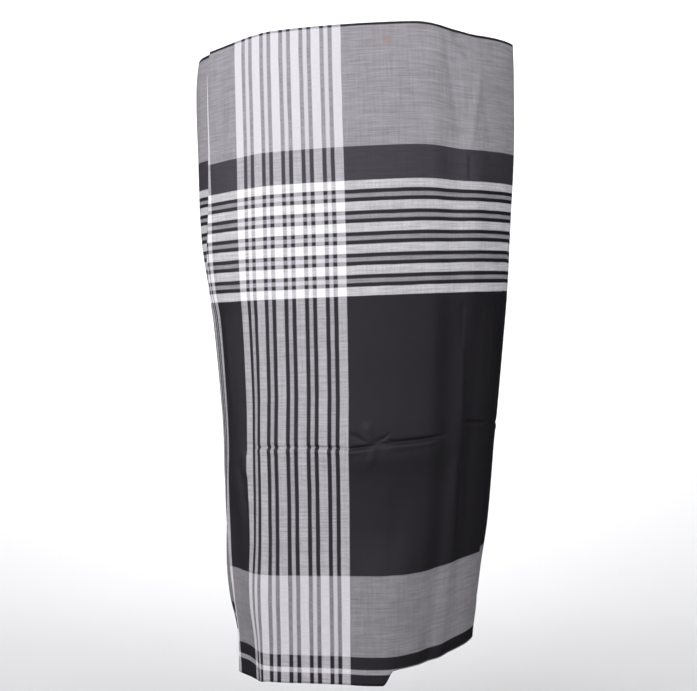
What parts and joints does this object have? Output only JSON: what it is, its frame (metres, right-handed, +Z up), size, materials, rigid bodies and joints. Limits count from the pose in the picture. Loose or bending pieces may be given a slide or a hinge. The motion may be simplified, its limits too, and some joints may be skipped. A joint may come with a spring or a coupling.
{
  "type": "worn longyi sarong",
  "caption": "Ankle-length tube skirt of woven checked cotton, hitched at the waist with a folded front wrap, hollow and open at waist and hem.",
  "frame": {"origin": "middle of the waist opening, at the height of the waist edge, where the wearer holds the cloth up", "axes": "+Z up through the waist opening, +X to the side of the front wrap's right-hand fold as a viewer in front sees it, and the front faces -Y"},
  "size_m": [0.4134, 0.2918, 0.8104],
  "materials": {
    "under_wrap": "plain woven cotton, matt",
    "front_wrap": "plain woven cotton, matt",
    "tube_seam": "plain woven cotton, matt"
  },
  "bodies": {
    "root": {"under_wrap": "under_wrap", "front_wrap": "front_wrap", "tube_seam": "tube_seam"}
  },
  "joints": []
}
